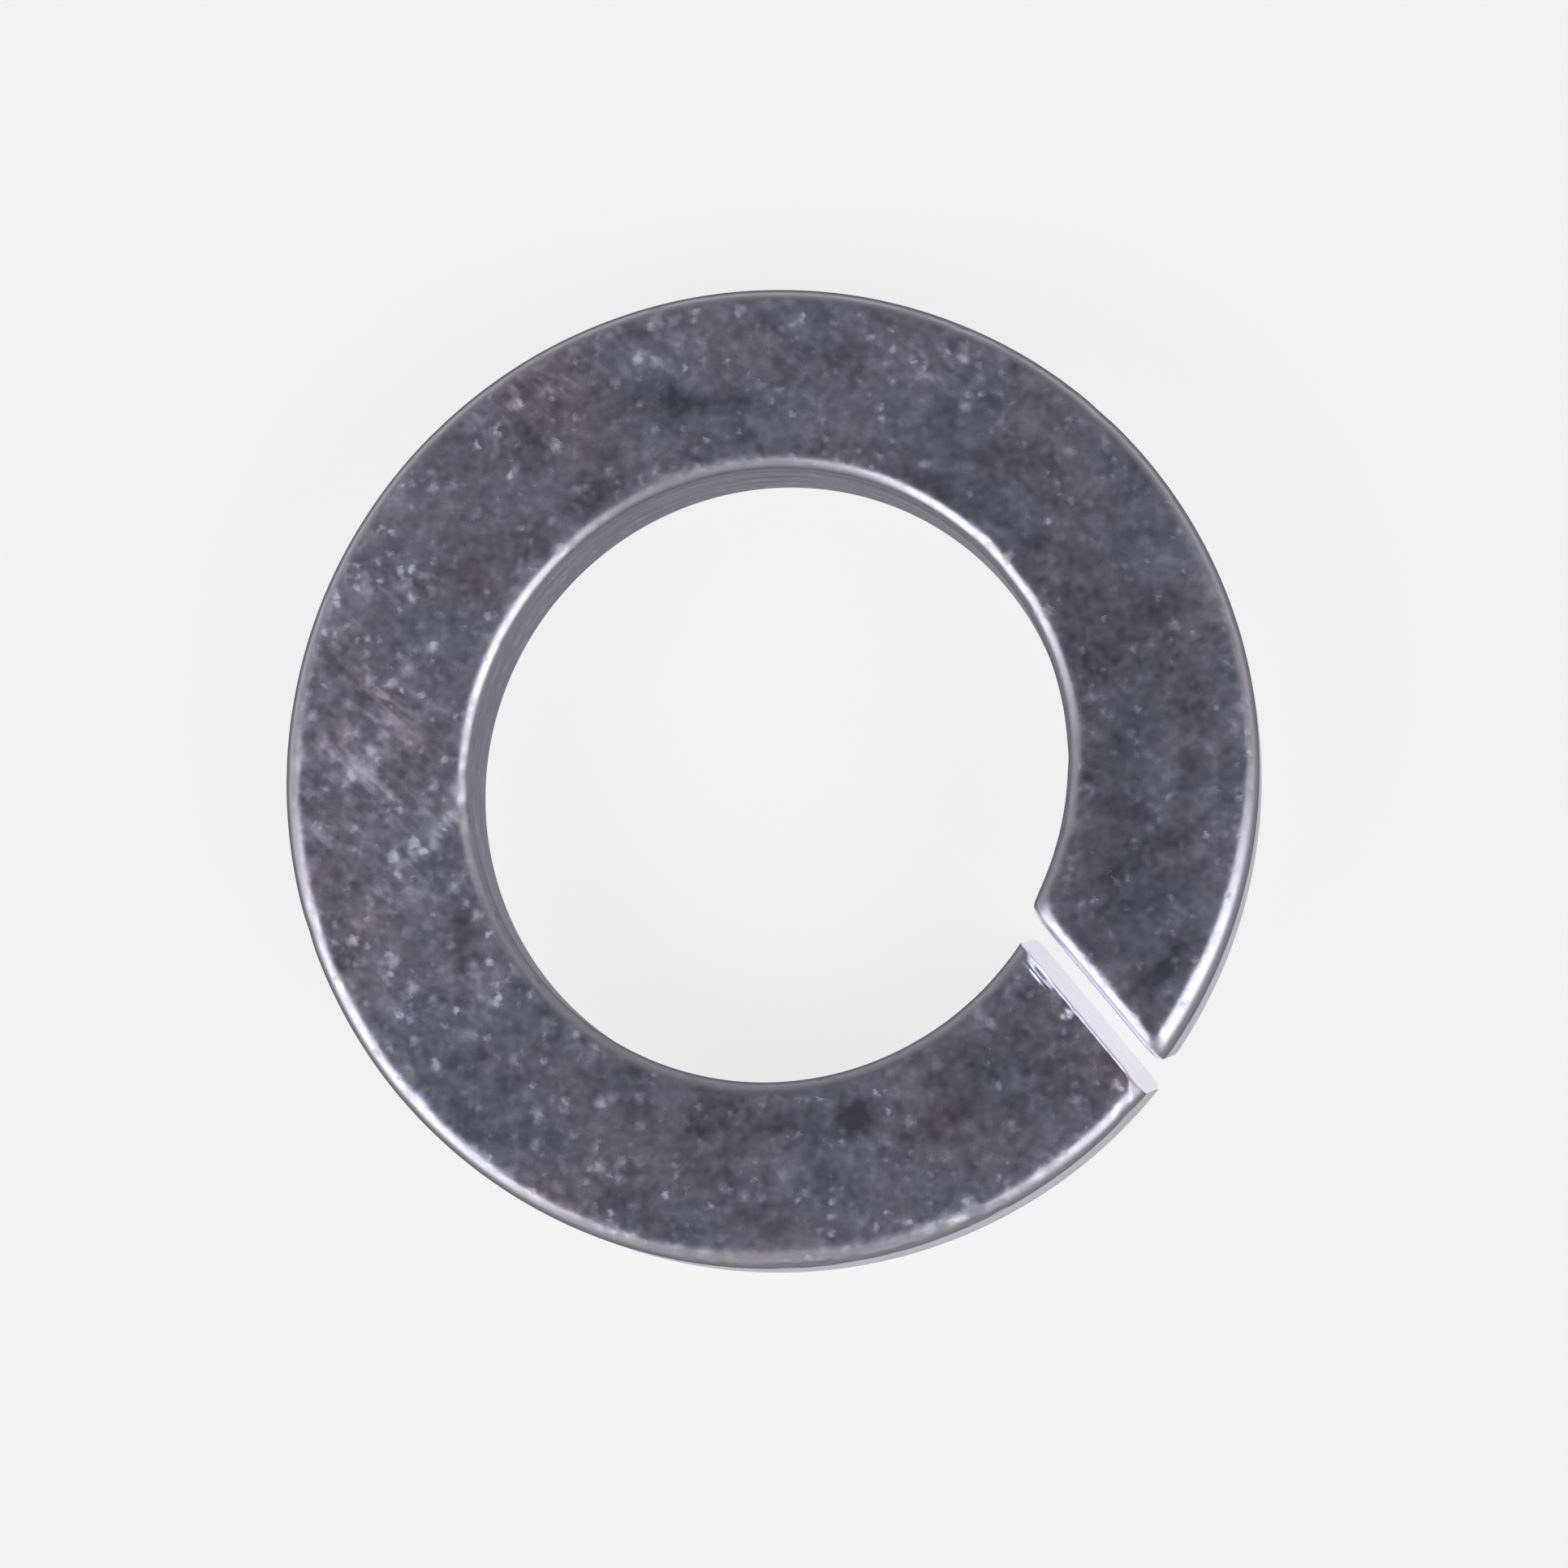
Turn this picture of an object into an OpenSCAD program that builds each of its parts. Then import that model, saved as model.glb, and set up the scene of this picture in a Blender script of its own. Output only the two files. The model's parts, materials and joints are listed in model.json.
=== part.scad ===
// Helical spring lock washer.
// One turn of spring steel wire of near-rectangular section, coiled left-handed and cut across on a slant.
// The turn climbs clockwise, seen from above, so the end after the cut stands above the end before it.
// Sizes are in millimetres. Z is the bolt axis, and the lowest edge of the wire lies on z = 0.

/* [Wire] */
// Bore diameter, clear of the bolt
bore_d = 16.4; // [14:0.1:22]
// Radial width of the wire, from the bore to the rim
wire_w = 5.1; // [3.5:0.1:7]
// Thickness of the wire at the middle of its width
wire_t = 3.5; // [2.5:0.1:5]
// Extra thickness at the bore over the rim, left by coiling
wire_taper = 0.1; // [0:0.02:0.4]
// Rounding of the wire's four long edges
edge_r = 0.5; // [0.2:0.05:0.8]

/* [Coil] */
// Height that the wire climbs in a full turn
pitch = 2.7; // [0.4:0.1:3.5]

/* [Cut] */
// Direction in which the cut runs outwards, in degrees from +X
cut_direction = -51; // [-180:1:180]
// Distance of the cut's middle line from the bolt axis, which skews the cut from radial
cut_offset = 2.8; // [0:0.05:3.5]
// Gap between the upper edges of the two ends, square to the cut
cut_gap = 0.7; // [0.4:0.05:2]
// Lean of the two cut faces from upright, in degrees, with the high end overhanging
cut_lean = 8; // [0:1:30]
// Break of the sharp edges round each cut face, left by tumbling
cut_break = 0.12; // [0.02:0.02:0.2]

/* [Hidden] */
$fn = 96;

// Steps along the turn, and steps round each rounded edge
turn_steps = 96;
corner_steps = 4;

bore_r = bore_d / 2;
rim_r = bore_r + wire_w;
// Spare on the swept wire's walls, so that the true cylinders of bore and rim lie just inside its flats
wall_spare = 2 * rim_r * (1 - cos(180 / turn_steps));
// Half of the wire's greatest thickness, where the flats meet the rounding at the bore
middle_z = half_thickness(bore_r + edge_r);
// Nominal height of the free washer, and how far the cylinders of bore and rim run past it
free_h = 2 * middle_z + pitch;
overrun = 1;

// Distance of each end's upper edge from a line through the bolt axis along the cut
low_end_edge = cut_offset - cut_gap / 2;
high_end_edge = cut_offset + cut_gap / 2;
// Angle about the bolt axis of the washer's lowest point, at the low end beside the bore
lowest_angle = cut_angle([bore_r + edge_r, -middle_z], low_end_edge - cut_break);

// Half of the wire's thickness at a radius
function half_thickness(r) = wire_t / 2 + wire_taper * (0.25 - (r - bore_r) / wire_w / 2);

// One rounded edge of the section, as points [radius, height over the middle plane].
// side is 1 at the rim and -1 at the bore, up is 1 on the upper face and -1 on the lower.
// inset draws the outline in evenly, as the broken edge of a cut face does.
function rounded_edge(side, up, inset) =
    let (wall_r = side > 0 ? rim_r : bore_r)
    let (centre_r = wall_r - side * edge_r)
    let (centre_z = half_thickness(centre_r) - edge_r)
    let (r = edge_r - inset)
    [
        for (k = [0 : corner_steps])
        let (step = side * up > 0 ? k : corner_steps - k)
        let (a = 90 * step / corner_steps)
        [centre_r + side * (r + wall_spare) * cos(a), up * (centre_z + r * sin(a))]
    ];

// Outline of the wire's section, counter-clockwise with the rim to the right
function section(inset) = concat(
    rounded_edge(1, 1, inset),
    rounded_edge(-1, 1, inset),
    rounded_edge(-1, -1, inset),
    rounded_edge(1, -1, inset)
);

// Angle about the bolt axis at which a point of the section meets the leaning cut face of an end
function cut_angle(p, end_edge) =
    cut_direction + asin((end_edge + (middle_z - p[1]) * tan(cut_lean)) / p[0]);

// Height that the coil has climbed where it reaches an angle
function climb(a) = pitch * (lowest_angle - a) / 360;

// A section carried along the turn, from 0 at the low end to 1 at the high end.
// back is the distance by which it stays behind the cut face of either end.
function ring(turn, inset, back) = [
    for (p = section(inset))
    let (low = cut_angle(p, low_end_edge - back))
    let (high = cut_angle(p, high_end_edge + back) - 360)
    let (a = low + turn * (high - low))
    [p[0] * cos(a), p[0] * sin(a), middle_z + p[1] + climb(a)]
];

// The coiled wire with its two cut ends, as one skin of rings joined by triangles
module coiled_wire() {
    rings = concat(
        [ring(0, cut_break, 0), ring(0, 0, cut_break)],
        [for (i = [1 : turn_steps - 1]) ring(i / turn_steps, 0, 0)],
        [ring(1, 0, cut_break), ring(1, cut_break, 0)]
    );
    count = len(rings[0]);
    last = len(rings) - 1;
    skin = [
        for (i = [0 : last - 1], k = [0 : count - 1])
        let (here = i * count)
        let (ahead = here + count)
        let (next = (k + 1) % count)
        each [[here + k, here + next, ahead + next], [here + k, ahead + next, ahead + k]]
    ];
    low_cap = [for (k = [count - 1 : -1 : 0]) k];
    high_cap = [for (k = [0 : count - 1]) last * count + k];
    polyhedron(points = [for (r = rings, p = r) p], faces = concat(skin, [low_cap, high_cap]));
}

// A true cylinder about the bolt axis, running past both sides of the washer
module through_cylinder(r) {
    translate([0, 0, -overrun])
    cylinder(r = r, h = free_h + 2 * overrun);
}

// The washer: the coiled wire, with its rim and its bore true to the bolt axis
module lock_washer() {
    color([0.52, 0.52, 0.57])
    difference() {
        intersection() {
            coiled_wire();
            through_cylinder(rim_r);
        }
        through_cylinder(bore_r);
    }
}

lock_washer();
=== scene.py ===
"""A helical spring lock washer, zinc plated, lying on a white table between two soft lamps."""
import json

import bpy
import numpy as np
from mathutils import Matrix, Vector


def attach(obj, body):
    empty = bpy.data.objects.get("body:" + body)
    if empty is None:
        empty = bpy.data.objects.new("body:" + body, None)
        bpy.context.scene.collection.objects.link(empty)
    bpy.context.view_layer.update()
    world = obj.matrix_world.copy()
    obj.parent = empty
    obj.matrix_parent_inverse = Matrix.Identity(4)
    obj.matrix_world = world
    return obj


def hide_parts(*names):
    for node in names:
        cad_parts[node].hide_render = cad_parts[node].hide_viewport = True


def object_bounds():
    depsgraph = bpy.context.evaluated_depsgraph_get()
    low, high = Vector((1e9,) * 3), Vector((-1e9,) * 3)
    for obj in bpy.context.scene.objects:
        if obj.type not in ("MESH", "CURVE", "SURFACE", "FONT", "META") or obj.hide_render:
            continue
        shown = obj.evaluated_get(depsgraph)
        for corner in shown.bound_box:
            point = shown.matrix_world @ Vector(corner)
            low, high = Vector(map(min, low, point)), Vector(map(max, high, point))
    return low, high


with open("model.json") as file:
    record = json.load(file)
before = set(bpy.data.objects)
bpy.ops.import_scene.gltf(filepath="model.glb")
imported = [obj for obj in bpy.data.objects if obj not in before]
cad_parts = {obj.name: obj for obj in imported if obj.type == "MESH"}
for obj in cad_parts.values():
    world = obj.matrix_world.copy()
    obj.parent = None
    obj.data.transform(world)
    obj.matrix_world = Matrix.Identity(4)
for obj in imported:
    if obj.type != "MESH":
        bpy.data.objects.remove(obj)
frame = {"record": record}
cad_low, cad_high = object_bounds()


# Lock washer
# One turn of spring steel wire, rolled to a near-rectangular section with rounded edges, coiled
# left-handed so that it climbs clockwise seen from above, and sheared off across a skewed cut.
# Tumbling has dented its faces and edges, and it is zinc plated. It has no other piece.
MM = 0.001
bolt_hole = frame["record"]["mounts"][0]
bore_radius = bolt_hole["dims"]["r_mm"] * MM
rim_radius = (cad_high.x - cad_low.x) / 2
wire_width = rim_radius - bore_radius
wire_thickness = 3.5 * MM
wire_taper = 0.1 * MM
edge_rounding = 0.5 * MM
pitch = 2.7 * MM
cut_direction = np.radians(-51)
cut_offset = 2.8 * MM
cut_gap = 0.7 * MM
cut_slope = np.tan(np.radians(8))
low_end_edge = cut_offset - cut_gap / 2
high_end_edge = cut_offset + cut_gap / 2
low_end_break = 0.12 * MM
high_end_break = 0.25 * MM

# Rows along the wire and points round its section, closer together where the surface turns
turn_rows = 600
end_rows = 24
end_reach = 1.2 * MM
break_rows = 7
face_rows = 12
innermost_shrink = 0.97
corner_points = 9
upper_points = 58
lower_points = 24
wall_points = 12

# Tumbling leaves the rim's upper edge rounder towards the high end, and the ring a little out of round
high_end_wear = 0.2 * MM
high_end_wear_turn = 0.06
edge_ripple = 0.03 * MM
bore_oval = 0.12 * MM
rim_oval = 0.02 * MM
oval_bearing = np.radians(57)


def half_thickness(radius):
    """Half of the wire's thickness, which falls evenly from the bore to the rim."""
    return wire_thickness / 2 + wire_taper * (0.25 - (radius - bore_radius) / wire_width / 2)


middle_height = half_thickness(bore_radius + edge_rounding)


def ripple(phase):
    """An uneven wave between -1 and 1: three sines of the phase that never fall in step."""
    return (np.sin(3.1 * phase + 0.4) + np.sin(7.3 * phase + 2.1) + np.sin(17.9 * phase + 4.0)) / 3


def bell(distance, reach):
    """A bell curve: 1 at no distance, and 1/e at the reach."""
    return np.exp(-(distance / reach) ** 2)


def rounded_edge(side, up, rounding, inset):
    """A quarter circle whose radius is the rounding less the inset.

    Its centre lies the rounding in from the wall and from the face. side is 1 at the rim and -1 at the
    bore, up is 1 above and -1 below. Gives rows by points by (radius, height).
    """
    wall = rim_radius if side > 0 else bore_radius
    centre_radius = wall - side * rounding
    centre_height = half_thickness(centre_radius) - rounding
    angle = np.linspace(0, np.pi / 2, corner_points)
    angle = angle if side * up > 0 else angle[::-1]
    radius = centre_radius + side * (rounding - inset) * np.cos(angle)
    height = up * (centre_height + (rounding - inset) * np.sin(angle))
    return np.stack([radius, height], axis=-1)


def flat_between(edge, next_edge, count):
    """Evenly spaced points from the end of one rounded edge to the start of the next, without either."""
    share = np.linspace(0, 1, count + 2)[1:-1, None]
    return edge[:, -1:] * (1 - share) + next_edge[:, :1] * share


def wire_section(rim_rounding, bore_rounding, inset):
    """The outline of the section in each row: four rounded edges and the four flats between them."""
    plain = np.full_like(inset, edge_rounding)
    rim_top = rounded_edge(1, 1, rim_rounding, inset)
    bore_top = rounded_edge(-1, 1, bore_rounding, inset)
    bore_foot = rounded_edge(-1, -1, plain, inset)
    rim_foot = rounded_edge(1, -1, plain, inset)
    upper_face = flat_between(rim_top, bore_top, upper_points)
    bore_wall = flat_between(bore_top, bore_foot, wall_points)
    lower_face = flat_between(bore_foot, rim_foot, lower_points)
    rim_wall = flat_between(rim_foot, rim_top, wall_points)
    parts = [rim_top, upper_face, bore_top, bore_wall, bore_foot, lower_face, rim_foot, rim_wall]
    return np.concatenate(parts, axis=1)


def cut_angle(radius, height, end_edge):
    """The angle about the bolt axis at which a point of the section meets a leaning cut face."""
    return cut_direction + np.arcsin((end_edge + (middle_height - height) * cut_slope) / radius)


lowest_angle = cut_angle(bore_radius + edge_rounding, -middle_height, low_end_edge - low_end_break)


def row_plan():
    """For each row: its place along the turn, its inset, its shrinking and its share of the break.

    The rows run from the middle of the low end's cut face outwards, round its broken edge by a quarter
    circle, along the turn, and back in over the high end in the same way. The last value goes from 0 on a
    cut face to 1 behind the break of its edge.
    """
    fine = np.linspace(0, 1, end_rows, endpoint=False) * end_reach / (2 * np.pi * rim_radius)
    coarse = np.linspace(fine[-1] + fine[1], 1 - fine[-1] - fine[1], turn_rows)
    along = np.concatenate([fine, coarse, 1 - fine[::-1]])
    bend = np.linspace(np.pi / 2, 0, break_rows, endpoint=False)
    face = np.linspace(innermost_shrink, 0, face_rows, endpoint=False)
    none, plain, ones = np.zeros(face_rows), np.zeros(len(along)), np.ones(face_rows)
    turn = np.concatenate([none, 0 * bend, along, 0 * bend + 1, ones])
    shrink = np.concatenate([face, 0 * bend, plain, 0 * bend, face[::-1]])
    low_inset = np.concatenate([ones, 1 - np.cos(bend)]) * low_end_break
    high_inset = np.concatenate([ones, 1 - np.cos(bend)]) * high_end_break
    inset = np.concatenate([low_inset, plain, high_inset[::-1]])
    rest = 1 - np.sin(bend)
    behind = np.concatenate([none, rest, plain + 1, rest[::-1], none])
    return turn[:, None], inset[:, None], shrink[:, None], behind[:, None]


def coiled_wire():
    """The section carried along the turn: each point starts and stops where it meets the two cut faces.

    Its height is its place in the section, plus the pitch for each full turn that it has gone round.
    Gives the points, their heights in the section, and whether they belong to a cut face.
    """
    turn, inset, shrink, behind = row_plan()
    wave = edge_ripple * ripple(2 * np.pi * turn)
    rim_rounding = edge_rounding + wave + high_end_wear * bell(1 - turn, high_end_wear_turn)
    outline = wire_section(rim_rounding, edge_rounding - wave, inset)
    centre = np.array([(bore_radius + rim_radius) / 2, 0])
    outline = outline * (1 - shrink[..., None]) + centre * shrink[..., None]
    radius, height = outline[..., 0], outline[..., 1]
    low = cut_angle(radius, height, low_end_edge - behind * low_end_break)
    high = cut_angle(radius, height, high_end_edge + behind * high_end_break) - 2 * np.pi
    angle = low + turn * (high - low)
    climb = pitch * (lowest_angle - angle) / (2 * np.pi)
    across = (radius - bore_radius) / wire_width
    oval = bore_oval * (1 - across) + rim_oval * across
    radius = radius + oval * np.cos(2 * (angle - oval_bearing))
    x, y, z = radius * np.cos(angle), radius * np.sin(angle), middle_height + height + climb
    return np.stack([x, y, z], axis=-1), height, np.broadcast_to(behind < 0.5, height.shape)


def outward(grid):
    """Unit normals of a grid surface: the cross product of its steps along its columns and rows."""
    around = np.roll(grid, -1, axis=1) - np.roll(grid, 1, axis=1)
    along = np.gradient(grid, axis=0)
    normal = np.cross(around, along)
    return normal / np.linalg.norm(normal, axis=-1, keepdims=True)


def dented(grid, normal, centres, reaches, depths):
    """The surface pushed in by round dents: each a bell of its depth and reach, with a swell round it."""
    push = np.zeros(grid.shape[:2])
    for centre, reach, depth in zip(centres, reaches, depths):
        ratio = ((grid - centre) ** 2).sum(axis=-1) / reach ** 2
        push += depth * (1 - 0.5 * ratio) * np.exp(-ratio)
    return grid - normal * push[..., None]


# The dents' reach, and the least and the spread of their depth as shares of the usual depth
dent_seed = 16
smallest_dent = 0.12 * MM
largest_to_smallest_dent = 3.5
shallowest_dent = 0.4
dent_depth_spread = 0.9


def tumbling_dents(grid):
    """Dents scattered by chance along the turn, on the upper face, its edges, and all round the wire.

    The rim's upper edge has more and deeper ones over a stretch of the turn not far from the low end. Gives
    the dents' centres, reaches and depths.
    """
    chance = np.random.default_rng(dent_seed)
    upper = np.arange(corner_points, corner_points + upper_points)
    rim_edge = np.arange(2, corner_points - 1)
    bore_edge = rim_edge + corner_points + upper_points
    anywhere = np.arange(grid.shape[1])
    first_row = face_rows + break_rows
    plain_rows = len(grid) - 2 * first_row
    groups = (
        # columns, start and stop along the turn, count, usual depth as a share of the reach
        (upper, 0.0, 1.0, 120, 0.03),
        (rim_edge, 0.0, 1.0, 40, 0.07),
        (rim_edge, 0.07, 0.22, 26, 0.14),
        (bore_edge, 0.0, 1.0, 24, 0.07),
        (anywhere, 0.0, 1.0, 120, 0.04),
    )
    centres, reaches, depths = [], [], []
    for band, start, stop, count, depth_share in groups:
        row = first_row + (plain_rows * (start + (stop - start) * chance.random(count))).astype(int)
        column = chance.choice(band, count)
        reach = smallest_dent * largest_to_smallest_dent ** chance.random(count)
        centres.append(grid[row, column])
        reaches.append(reach)
        depths.append(reach * depth_share * (shallowest_dent + dent_depth_spread * chance.random(count)))
    return np.concatenate(centres), np.concatenate(reaches), np.concatenate(depths)


# Marks at the ends: a place is counted along the cut from beside the bolt axis, a setback from the cut face
burr_height = 0.03 * MM
burr_wave = 0.9 * MM
burr_setback = 0.1 * MM
burr_reach = 0.07 * MM
tear_place = 8.75 * MM
tear_reach = 0.5 * MM
groove_depth = 0.06 * MM
ridge_height = 0.05 * MM
ridge_setback = 0.25 * MM
ridge_reach = 0.08 * MM
pip_height = 0.07 * MM
pip_place = 10.05 * MM
pip_setback = 0.32 * MM
pip_reach = 0.14 * MM
worn_depth = 0.35 * MM
worn_width = 0.9 * MM
worn_length = 0.55 * MM
rolled_depth = 0.22 * MM
rolled_reach = 0.65 * MM
past_cut = 0.3 * MM


def end_marks(grid, height):
    """How far the shears and tumbling raised or lowered the surface at the two ends, in z.

    On the low end: a burr stood up along the upper cut edge, torn into a groove and a second ridge near the
    bore, a pip behind it, and a worn outer corner. On the high end: an upper cut edge that the shears
    rolled over. All of them fade from the upper face down to the middle of the wire.
    """
    x, y = grid[..., 0], grid[..., 1]
    along = x * np.cos(cut_direction) + y * np.sin(cut_direction)
    across = y * np.cos(cut_direction) - x * np.sin(cut_direction) - (middle_height - height) * cut_slope
    behind_low, behind_high = low_end_edge - across, across - high_end_edge
    from_rim = rim_radius - np.hypot(x, y)
    on_burr = bell(behind_low - burr_setback, burr_reach)
    burr = burr_height * (0.5 + 0.6 * ripple(along / burr_wave)) * on_burr
    tear = bell(along - tear_place, tear_reach)
    groove = -groove_depth * tear * on_burr
    ridge = ridge_height * tear * bell(behind_low - ridge_setback, ridge_reach)
    pip = pip_height * bell(np.hypot(along - pip_place, behind_low - pip_setback), pip_reach)
    worn = -worn_depth * np.clip(1 - from_rim / worn_width - behind_low / worn_length, 0, 1) ** 1.3
    rolled = -rolled_depth * np.clip(1 - behind_high / rolled_reach, 0, 1) ** 2
    low_end = (burr + groove + ridge + pip + worn) * (behind_low > -past_cut)
    high_end = rolled * (behind_high > -past_cut)
    return (low_end + high_end) * (along > 0) * np.clip(height / middle_height, 0, 1)


# How much more the rim is scuffed than the bore, and the least z of a normal that counts as the upper face
rim_over_bore_scuffing = 0.25
facing_up = 0.5


def rubbed_patches(grid, normal):
    """Soft patches on the upper face, above 0 where scuffing lightened it and below 0 where it is stained.

    Each is a bell curve along and across its own direction, seen from above. They add to an even slope, as
    the plating is thinner beside the bore and more scuffed beside the rim.
    """
    patches = (
        # x, y, length and width in millimetres, bearing in degrees, strength
        (-10.2, 0.6, 4.8, 2.1, 95, 0.58),
        (-11.3, 0.1, 1.3, 0.30, -40, 0.9),
        (-10.0, -2.4, 1.7, 0.20, 43, 0.8),
        (-10.5, 1.9, 1.2, 0.6, 70, 0.6),
        (-8.5, -1.1, 0.6, 0.3, 0, 0.7),
        (-12.2, -1.5, 0.6, 0.3, -20, 0.7),
        (-10.4, 5.4, 1.2, 0.6, 0, 0.5),
        (-7.7, -5.9, 1.6, 0.9, 60, 0.55),
        (-10.6, -5.6, 1.4, 0.6, 118, 0.4),
        (-7.6, -7.8, 1.5, 0.8, 135, -0.3),
        (-6.4, 10.4, 1.9, 0.9, 30, 0.7),
        (-3.1, 11.5, 1.6, 0.8, 15, 0.5),
        (0.5, 11.2, 2.2, 1.2, 0, 0.35),
        (4.8, 11.1, 1.5, 0.8, -20, 0.7),
        (-2.6, 8.9, 2.2, 0.35, 17, 0.5),
        (-4.6, 8.2, 1.8, 0.6, 30, -0.4),
        (-1.9, 10.1, 1.9, 0.35, -8, -0.7),
        (2.3, -9.2, 0.55, 0.45, 0, -1.4),
        (-1.4, -9.4, 1.7, 0.5, 0, -0.6),
        (5.6, -9.2, 2.0, 1.5, 35, -0.3),
        (5.7, -6.3, 0.6, 0.3, 40, 0.8),
        (9.4, 1.6, 5.0, 1.6, 82, -0.3),
        (7.8, 5.6, 2.4, 1.2, 125, -0.3),
        (10.6, -3.2, 2.0, 1.0, 80, -0.2),
        (10.85, -5.25, 0.9, 0.28, 62, -1.0),
        (7.98, -6.47, 0.13, 0.12, 0, 1.6),
    )
    from_middle = np.hypot(grid[..., 0], grid[..., 1]) - (bore_radius + rim_radius) / 2
    tone = rim_over_bore_scuffing * from_middle / wire_width
    for x, y, length, width, bearing, strength in patches:
        offset = grid[..., :2] - np.array([x, y]) * MM
        cosine, sine = np.cos(np.radians(bearing)), np.sin(np.radians(bearing))
        lengthwise = offset[..., 0] * cosine + offset[..., 1] * sine
        sideways = offset[..., 1] * cosine - offset[..., 0] * sine
        tone += strength * bell(lengthwise, length * MM) * bell(sideways, width * MM)
    return tone * (normal[..., 2] > facing_up)


def closed_skin(name, grid):
    """A mesh of quads between neighbouring rows, each a closed loop, with a fan over each end."""
    rows, columns = grid.shape[:2]
    vertices = np.concatenate([grid.reshape(-1, 3), grid[[0, -1]].mean(axis=1)])
    index = np.arange(rows * columns).reshape(rows, columns)
    here, ahead = index[:-1], index[1:]
    quads = np.stack([here, np.roll(here, -1, 1), np.roll(ahead, -1, 1), ahead], axis=-1).reshape(-1, 4)
    first, last = rows * columns, rows * columns + 1
    low_fan = np.stack([np.roll(index[0], -1), index[0], np.full(columns, first)], axis=-1)
    high_fan = np.stack([index[-1], np.roll(index[-1], -1), np.full(columns, last)], axis=-1)
    mesh = bpy.data.meshes.new(name)
    mesh.from_pydata(vertices.tolist(), [], quads.tolist() + low_fan.tolist() + high_fan.tolist())
    mesh.polygons.foreach_set("use_smooth", np.ones(len(mesh.polygons), dtype=bool))
    mesh.update()
    return mesh


def point_values(mesh, name, grid_values, end_value):
    """A value at each of the mesh's points, for its material: the grid's, and one for both end points."""
    values = np.append(grid_values.ravel(), [end_value, end_value]).astype(np.float32)
    mesh.attributes.new(name, "FLOAT", "POINT").data.foreach_set("value", values)


def linked_object(mesh):
    """An object at the origin that shows a mesh."""
    piece = bpy.data.objects.new(mesh.name, mesh)
    bpy.context.scene.collection.objects.link(piece)
    return piece


drawing_line_length = 6 * MM
drawing_line_spacing = 0.08 * MM
dull_edge_width = 0.3 * MM


def plated_wire():
    """The coiled wire with its end marks and dents, and with values at its points for the plating.

    rubbed is above 0 in scuffed patches and below 0 in stained ones. edge is 1 on the walls and falls to 0
    over the next millimetre of the faces. steepness goes from 0 where the wire is level to 1 where it is
    upright, and cut_face is 1 where it was sheared. rim_side is 1 on the half towards the rim. along counts
    the drawing lines' lengths along the wire, and level their spacings up its walls.
    """
    grid, height, on_cut = coiled_wire()
    normal = outward(grid)
    from_bore = np.hypot(grid[..., 0], grid[..., 1]) - bore_radius
    from_wall = np.minimum(from_bore, wire_width - from_bore)
    shaped = grid.copy()
    shaped[..., 2] += end_marks(grid, height)
    shaped = dented(shaped, outward(shaped), *tumbling_dents(shaped))
    mesh = closed_skin("plated_wire", shaped)
    point_values(mesh, "rubbed", rubbed_patches(grid, normal), 0)
    past_edge = np.maximum(from_wall - dull_edge_width, 0)
    point_values(mesh, "edge", bell(past_edge, dull_edge_width), 0)
    point_values(mesh, "steepness", 1 - np.abs(normal[..., 2]), 1)
    point_values(mesh, "cut_face", on_cut, 1)
    point_values(mesh, "rim_side", from_bore > wire_width / 2, 0)
    angle = np.unwrap(np.arctan2(grid[..., 1], grid[..., 0]), axis=0)
    point_values(mesh, "along", angle * rim_radius / drawing_line_length, 0)
    point_values(mesh, "level", height / drawing_line_spacing, 0)
    return linked_object(mesh)


class Shader:
    """A material's nodes, added one at a time with their sockets set or linked by name."""

    def __init__(self, name):
        self.material = bpy.data.materials.new(name)
        self.material.use_nodes = True
        self.tree = self.material.node_tree
        self.tree.nodes.clear()

    def add(self, kind, sockets=None, **settings):
        """A new node. sockets maps an input's name or number to a value or to another node's output."""
        node = self.tree.nodes.new(kind)
        for key, value in settings.items():
            setattr(node, key, value)
        for key, value in (sockets or {}).items():
            if isinstance(value, bpy.types.NodeSocket):
                self.tree.links.new(value, node.inputs[key])
            else:
                node.inputs[key].default_value = value
        return node

    def sum(self, operation, *values):
        """A sum of one kind, such as ADD or MULTIPLY_ADD, on two or three values."""
        return self.add("ShaderNodeMath", dict(enumerate(values)), operation=operation).outputs[0]

    def noise(self, place, size, detail, roughness=0.5):
        """Cloudy noise from 0 to 1 whose patches are about a given size, in the units of the place."""
        sockets = {"Vector": place, "Scale": 1 / size, "Detail": detail, "Roughness": roughness}
        return self.add("ShaderNodeTexNoise", sockets).outputs[0]

    def mixed(self, share, colour, other, **settings):
        """A colour that gives way to another as the share goes from 0 to 1."""
        sockets = {0: share, 6: colour, 7: other}
        return self.add("ShaderNodeMix", sockets, data_type="RGBA", **settings).outputs[2]

    def spread(self, value, low, high, to_low, to_high):
        """A value's stretch from low to high, drawn out evenly to another stretch and held at its ends."""
        sockets = {"Value": value, "From Min": low, "From Max": high, "To Min": to_low, "To Max": to_high}
        return self.add("ShaderNodeMapRange", sockets).outputs[0]


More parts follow.
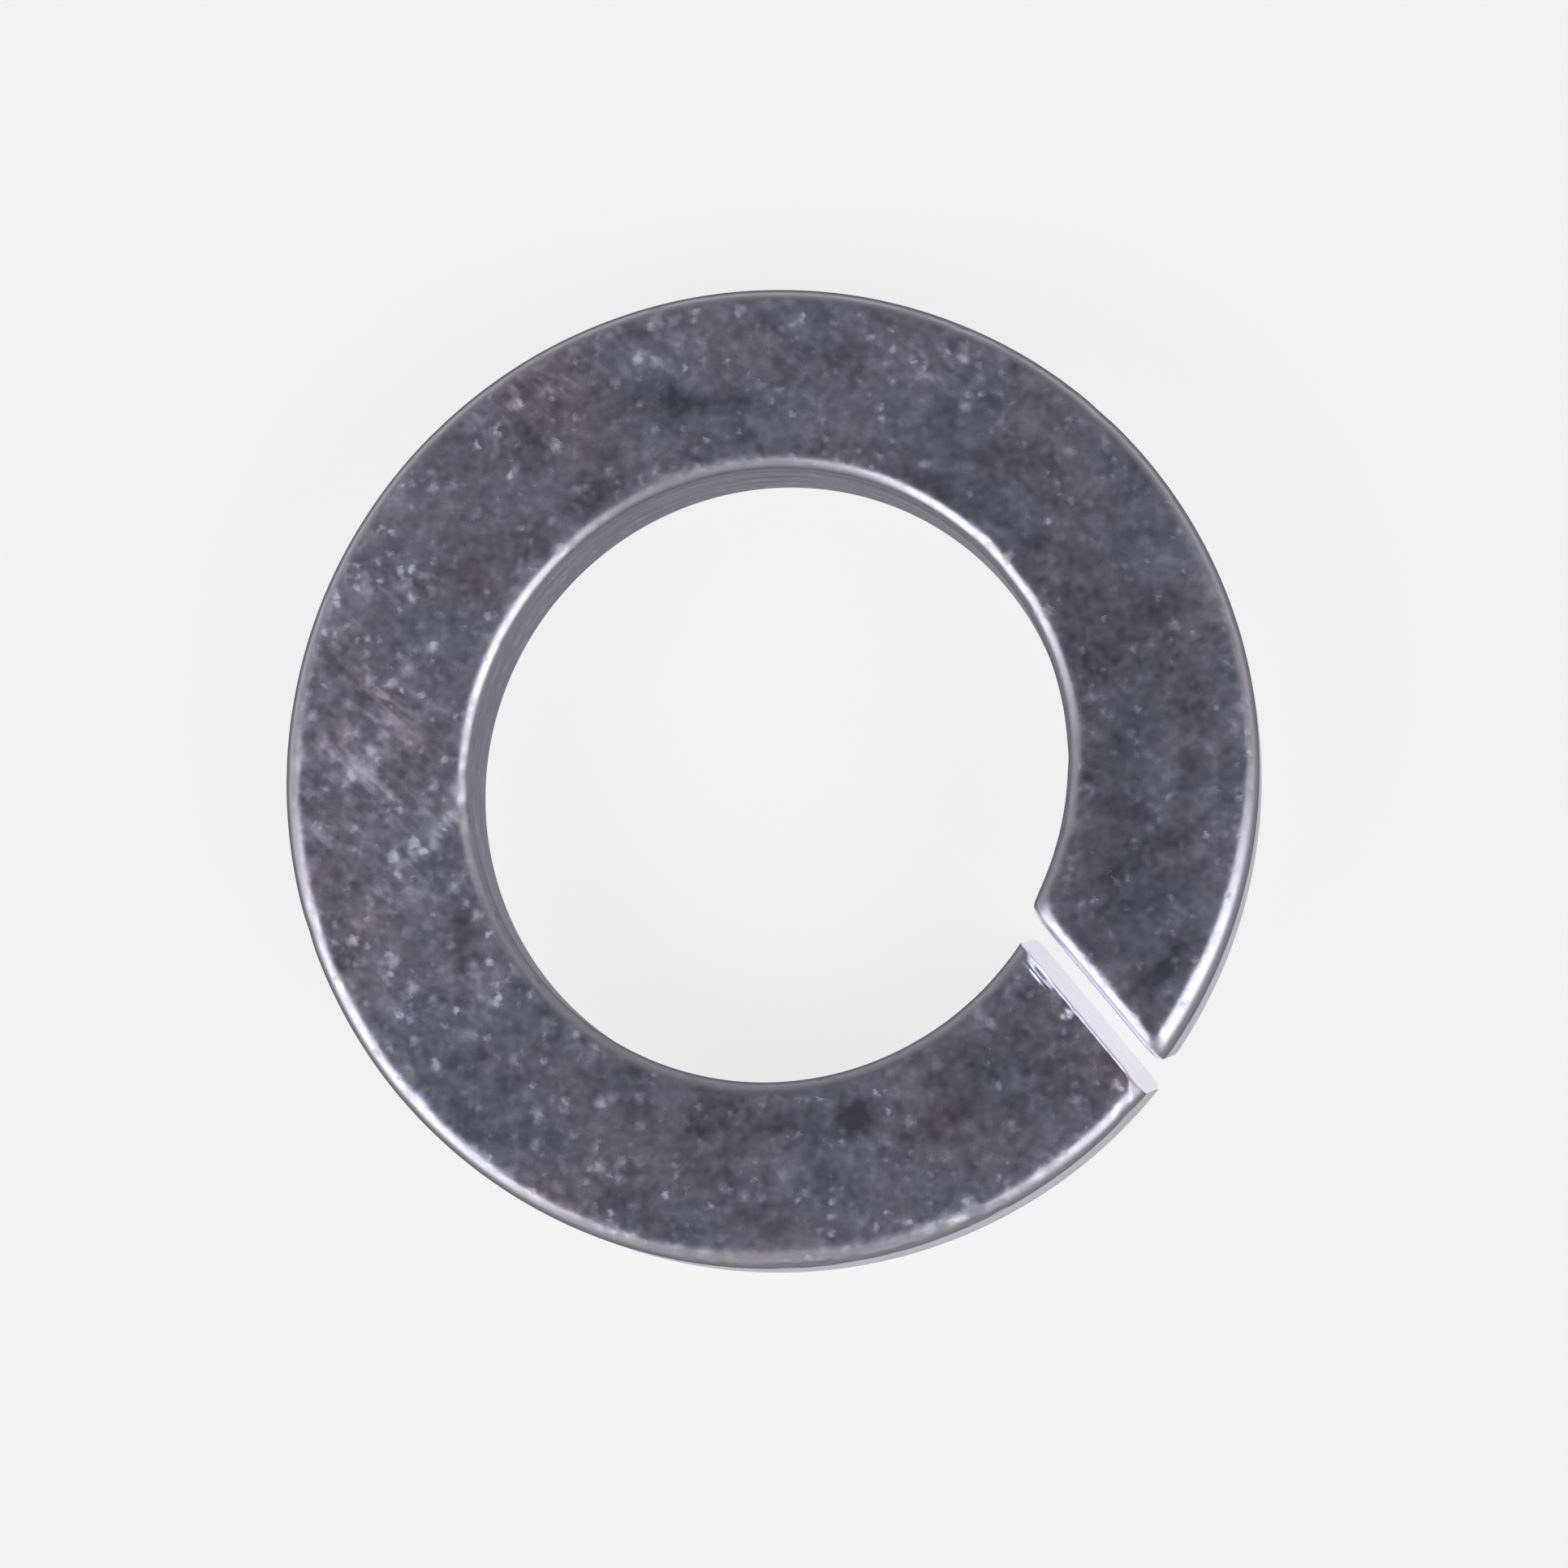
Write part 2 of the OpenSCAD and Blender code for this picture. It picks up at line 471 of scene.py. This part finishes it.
# Colours of the plating, then the sizes of its patches and marks
stained_zinc = (0.26, 0.253, 0.318, 1)
plain_zinc = (0.535, 0.524, 0.640, 1)
# Frosted zinc is painted paler; on the flecks this paleness is partly a painted glint, standing in for
# dents that catch the lamps
frosted_and_glint_zinc = (0.84, 0.825, 1.0, 1)
warm_cast = (1.035, 1.0, 0.955, 1)
cool_cast = (0.965, 1.0, 1.045, 1)
worn_zinc = (0.585, 0.572, 0.63, 1)
# Painted shade: a dark band where the edges turn down into the walls, standing in for the dark surroundings
# and shadowed table that they mirror
painted_edge_shade_zinc = (0.26, 0.255, 0.28, 1)
# The walls' colour runs between a darker and a paler zinc along the drawing lines; the darker one is partly
# painted shade, keeping the walls darker than the faces
drawn_and_shaded_zinc = (0.34, 0.333, 0.375, 1)
pale_drawn_zinc = (0.53, 0.52, 0.58, 1)
sheared_zinc = (0.90, 0.885, 0.94, 1)
# Painted shade and light in the grazing tint: walls and edges reflect dimly, as if they mirrored a shadowed
# table, while the rim's walls are a lit copy that reflects brightly
shaded_edge_tint = (0.3, 0.3, 0.32, 1)
lit_rim_edge_tint = (0.85, 0.84, 0.87, 1)
sheared_edge_tint = (0.95, 0.95, 0.98, 1)
cloud_size = 2.2 * MM
mottle_size = 0.9 * MM
haze_size = 0.42 * MM
cast_size = 3.0 * MM
large_fleck_spacing = 0.56 * MM
large_fleck_radius = 0.24 * MM
small_fleck_spacing = 0.3 * MM
small_fleck_radius = 0.14 * MM
fleck_warp_size = 0.2 * MM
fleck_warp_reach = 0.3 * MM
scuff_bearing = np.radians(-42)
scuff_length = 0.8 * MM
scuff_width = 0.27 * MM
skin_depth = 0.006 * MM


def zinc_plating():
    """Bright zinc: smooth metal, mottled by clouds of noise, and frosted where it is flecked and scuffed.

    Each fleck is cut by the surface from a small warped sphere about a scattered point. Scuffs are strokes
    of noise drawn out along one direction, within the rubbed patches. Frosted zinc is rougher and paler
    than the rest; on the flecks the paler colour is partly a painted glint that stands in for dents
    catching the lamps. The edges are worn duller and greyer by tumbling. Where they turn down into the
    walls they are painted dark, a painted shade for the dark surroundings and shadowed table that they
    mirror. The walls keep the fine lines of the drawn wire and are painted darker than the faces, partly as
    painted shade. Grazing reflections are dimmed by a dark tint as painted shade, except on the rim's
    walls, which keep a pale tint as a lit copy, and on the cut faces.
    """
    shader = Shader("zinc_plating")
    place = shader.add("ShaderNodeTexCoord").outputs["Object"]
    rubbed, edge, steepness, cut_face, rim_side, along, level = (
        shader.add("ShaderNodeAttribute", attribute_name=name).outputs["Fac"]
        for name in ("rubbed", "edge", "steepness", "cut_face", "rim_side", "along", "level")
    )
    cloud = shader.noise(place, cloud_size, 2)
    mottle = shader.noise(place, mottle_size, 2, 1.0)
    haze = shader.noise(place, haze_size, 3, 0.6)
    cast = shader.spread(shader.noise(place, cast_size, 2), 0.3, 0.7, 0, 1)
    drawn = shader.noise(shader.add("ShaderNodeCombineXYZ", {0: along, 1: level}).outputs[0], 1.0, 2)

    # Flecks, large ones strewn thinly and small ones thickly, each with a strength of its own
    warp = shader.add("ShaderNodeTexNoise", {"Vector": place, "Scale": 1 / fleck_warp_size, "Detail": 2.0})
    warped = shader.add("ShaderNodeVectorMath", {
        0: warp.outputs["Color"],
        1: (fleck_warp_reach, fleck_warp_reach, fleck_warp_reach),
        2: place,
    }, operation="MULTIPLY_ADD").outputs[0]

    def flecks(spacing, radius, faintest):
        """Dots of a radius about points strewn at a spacing, with a share of the faintest left out."""
        spots = shader.add("ShaderNodeTexVoronoi", {"Vector": warped, "Scale": 1 / spacing}).outputs
        chance = shader.add("ShaderNodeSeparateColor", {0: spots["Color"]}).outputs[0]
        strength = shader.spread(chance, faintest, 1, 0, 1)
        dot = shader.spread(spots["Distance"], 0.1 * radius / spacing, radius / spacing, 1, 0)
        return shader.sum("MULTIPLY", dot, shader.sum("MULTIPLY", strength, strength))

    large_flecks = flecks(large_fleck_spacing, large_fleck_radius, 0.25)
    small_flecks = flecks(small_fleck_spacing, small_fleck_radius, 0.45)
    fleck = shader.sum("ADD", large_flecks, small_flecks)

    # Scuffs
    strokes = shader.add("ShaderNodeMapping", {
        "Vector": place,
        "Rotation": (0, 0, scuff_bearing),
        "Scale": (scuff_length, scuff_width, scuff_width),
    }, vector_type="TEXTURE").outputs[0]
    stroke = shader.noise(strokes, 1.0, 1)
    scuffed = shader.sum("MAXIMUM", rubbed, 0)
    scuff = shader.sum("MULTIPLY", scuffed, shader.spread(stroke, 0.42, 0.62, 0.3, 1))

    # Frost: 0 is smooth, 1 is matt
    frost = shader.spread(haze, 0.46, 0.74, 0, 0.45)
    frost = shader.sum("MULTIPLY_ADD", scuff, 0.8, frost)
    frost = shader.sum("MULTIPLY_ADD", fleck, shader.spread(rubbed, 0, 0.8, 1.0, 1.6), frost)

    # Tone: 0.5 is plain zinc
    tone = shader.sum("MULTIPLY_ADD", cloud, 0.7, -0.6)
    tone = shader.sum("MULTIPLY_ADD", mottle, 1.5, tone)
    tone = shader.sum("MULTIPLY_ADD", shader.sum("MINIMUM", rubbed, 0), 0.5, tone)
    # Frost also pales the colour: on the flecks this is partly a painted glint
    tone = shader.sum("MULTIPLY_ADD", frost, 0.3, tone)
    colour = shader.add("ShaderNodeValToRGB", {"Fac": tone})
    colour.color_ramp.elements[0].color = stained_zinc
    colour.color_ramp.elements[1].color = frosted_and_glint_zinc
    colour.color_ramp.elements.new(0.5).color = plain_zinc
    cast_colour = shader.mixed(cast, warm_cast, cool_cast)
    plated = shader.mixed(1.0, colour.outputs["Color"], cast_colour, blend_type="MULTIPLY")

    # Edges, walls and cut faces
    plated = shader.mixed(shader.spread(steepness, 0.02, 0.1, 0, 1), plated, worn_zinc)
    # Painted shade: the edges darken where they turn down into the walls
    plated = shader.mixed(shader.spread(steepness, 0.22, 0.42, 0, 1), plated, painted_edge_shade_zinc)
    # Walls: real drawing lines, and partly painted shade that keeps them darker than the faces
    wall_colour = shader.mixed(shader.spread(drawn, 0.3, 0.7, 0, 1), drawn_and_shaded_zinc, pale_drawn_zinc)
    wall = shader.spread(steepness, 0.75, 0.95, 0, 1)
    plated = shader.mixed(wall, plated, wall_colour)
    plated = shader.mixed(cut_face, plated, sheared_zinc)
    # Painted shade on the grazing reflections, with a lit copy on the rim's walls
    edge_tint = shader.mixed(shader.sum("MULTIPLY", wall, rim_side), shaded_edge_tint, lit_rim_edge_tint)
    edge_tint = shader.mixed(cut_face, edge_tint, sheared_edge_tint)

    # Gloss and relief
    roughness = shader.sum("MULTIPLY_ADD", frost, 0.3, shader.spread(cloud, 0.3, 0.7, 0.17, 0.21))
    roughness = shader.sum("MULTIPLY_ADD", edge, 0.12, roughness)
    skin = shader.sum("MULTIPLY_ADD", fleck, -0.6, shader.sum("MULTIPLY", haze, 0.6))
    skin = shader.sum("MULTIPLY_ADD", drawn, shader.sum("MULTIPLY", wall, 0.5), skin)
    bump = shader.add("ShaderNodeBump", {"Strength": 1.0, "Distance": skin_depth, "Height": skin})
    metal = shader.add("ShaderNodeBsdfPrincipled", {
        "Base Color": plated,
        "Metallic": 1.0,
        "Roughness": roughness,
        "Specular Tint": edge_tint,
        "Normal": bump.outputs["Normal"],
    })
    shader.add("ShaderNodeOutputMaterial", {"Surface": metal.outputs[0]})
    return shader.material


washer = plated_wire()
washer.data.materials.append(zinc_plating())
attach(washer, "root")
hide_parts("lock_washer")


# White table
# The washer lies on a plain white table. Seen directly, or mirrored in the metal, most of its white is
# even, and the rest is lit by the lamps, so it keeps the washer's soft shadow.
table_reach = 1.5
table_sides = 96
table_drop = 0.02 * MM
table_paint = (0.92, 0.92, 0.93, 1)
table_even_share = 0.77


def table_top():
    """A flat disc of the table's reach, a hair under the washer's lowest edge."""
    angle = np.linspace(0, 2 * np.pi, table_sides, endpoint=False)
    level = np.full_like(angle, -table_drop)
    rim = np.stack([table_reach * np.cos(angle), table_reach * np.sin(angle), level], axis=-1)
    mesh = bpy.data.meshes.new("table_top")
    mesh.from_pydata(rim.tolist(), [], [list(range(len(rim)))])
    return mesh


def white_table():
    """White paint under the lamps, mixed with even white as seen directly, in metal or through glass."""
    shader = Shader("white_table")
    ray = shader.add("ShaderNodeLightPath").outputs
    seen = shader.sum("MAXIMUM", ray["Is Camera Ray"], ray["Is Glossy Ray"])
    seen = shader.sum("MAXIMUM", seen, ray["Is Transmission Ray"])
    share = shader.sum("MULTIPLY", seen, table_even_share)
    paint = shader.add("ShaderNodeBsdfDiffuse", {"Color": table_paint})
    even = shader.add("ShaderNodeEmission", {"Color": (1, 1, 1, 1), "Strength": 1.0})
    mixed = shader.add("ShaderNodeMixShader", {0: share, 1: paint.outputs[0], 2: even.outputs[0]})
    shader.add("ShaderNodeOutputMaterial", {"Surface": mixed.outputs[0]})
    return shader.material


table = linked_object(table_top())
table.data.materials.append(white_table())


# Lamps and room
# Two tall soft boxes stand in front, to the left and to the right, in a room that is pale in front and
# dark overhead and behind, so that the metal mirrors dark surroundings.
room_grey = 0.42
dark_grey = 0.17
dark_axis = (0, np.sin(np.radians(22)), np.cos(np.radians(22)))
dark_edge = np.cos(np.radians(32))
pale_edge = np.cos(np.radians(72))
lamp_distance = 0.30
lamp_width = 0.23
lamp_height = 0.30
lamp_radiance = 1.7
lamp_elevation = np.radians(31)
lamp_bearings = {"left_soft_box": np.radians(210), "right_soft_box": np.radians(334)}


def shaded_room():
    """A world that is dark round an axis and turns evenly paler with the angle away from it."""
    room = bpy.data.worlds.new("shaded_room")
    room.use_nodes = True
    nodes, links = room.node_tree.nodes, room.node_tree.links
    direction = nodes.new("ShaderNodeTexCoord")
    nearness = nodes.new("ShaderNodeVectorMath")
    nearness.operation = "DOT_PRODUCT"
    nearness.inputs[1].default_value = dark_axis
    shade = nodes.new("ShaderNodeMapRange")
    for socket, value in zip(shade.inputs[1:5], (pale_edge, dark_edge, room_grey, dark_grey)):
        socket.default_value = value
    links.new(direction.outputs["Generated"], nearness.inputs[0])
    links.new(nearness.outputs["Value"], shade.inputs["Value"])
    links.new(shade.outputs["Result"], nodes["Background"].inputs["Color"])
    return room


bpy.context.scene.world = shaded_room()

washer_middle = Vector((0, 0, cad_high.z / 2))


def looking_from(direction, up):
    """The turn of a lamp or camera that stands off in a direction and looks back, with up kept upright."""
    back = direction.normalized()
    right = up.cross(back).normalized()
    return Matrix((right, back.cross(right), back)).transposed()


for name, bearing in lamp_bearings.items():
    level = np.cos(lamp_elevation)
    stand = Vector((level * np.cos(bearing), level * np.sin(bearing), np.sin(lamp_elevation)))
    light = bpy.data.lights.new(name, "AREA")
    light.shape = "RECTANGLE"
    light.size = lamp_width
    light.size_y = lamp_height
    light.energy = lamp_radiance * np.pi * lamp_width * lamp_height
    lamp = bpy.data.objects.new(name, light)
    turn = looking_from(stand, Vector((0, 0, 1)))
    lamp.matrix_world = Matrix.Translation(washer_middle + stand * lamp_distance) @ turn.to_4x4()
    bpy.context.scene.collection.objects.link(lamp)


# Camera
# The photograph is taken from almost straight above, leaning a little towards the cut, with a long lens.
photo_side = 1932
photo_middle = (953.5, 963.0)
photo_pixels_per_metre = 45100
camera_lean = np.radians(8.3)
camera_bearing = np.radians(-51)
camera_distance = 0.18

camera_data = bpy.data.cameras.new("photo_camera")
camera_data.sensor_width = 36
camera_data.lens = camera_data.sensor_width * photo_pixels_per_metre * camera_distance / photo_side
camera_data.clip_start = 0.01
camera_data.clip_end = 10
camera = bpy.data.objects.new("photo_camera", camera_data)
across = np.sin(camera_lean)
back = Vector((across * np.cos(camera_bearing), across * np.sin(camera_bearing), np.cos(camera_lean)))
turn = looking_from(back, Vector((0, 1, 0)))
right_shift = (photo_side / 2 - photo_middle[0]) / photo_pixels_per_metre
up_shift = (photo_middle[1] - photo_side / 2) / photo_pixels_per_metre
aim = washer_middle + turn.col[0] * right_shift + turn.col[1] * up_shift
camera.matrix_world = Matrix.Translation(aim + back * camera_distance) @ turn.to_4x4()
bpy.context.scene.collection.objects.link(camera)
bpy.context.scene.camera = camera
bpy.context.scene.view_settings.view_transform = "Standard"
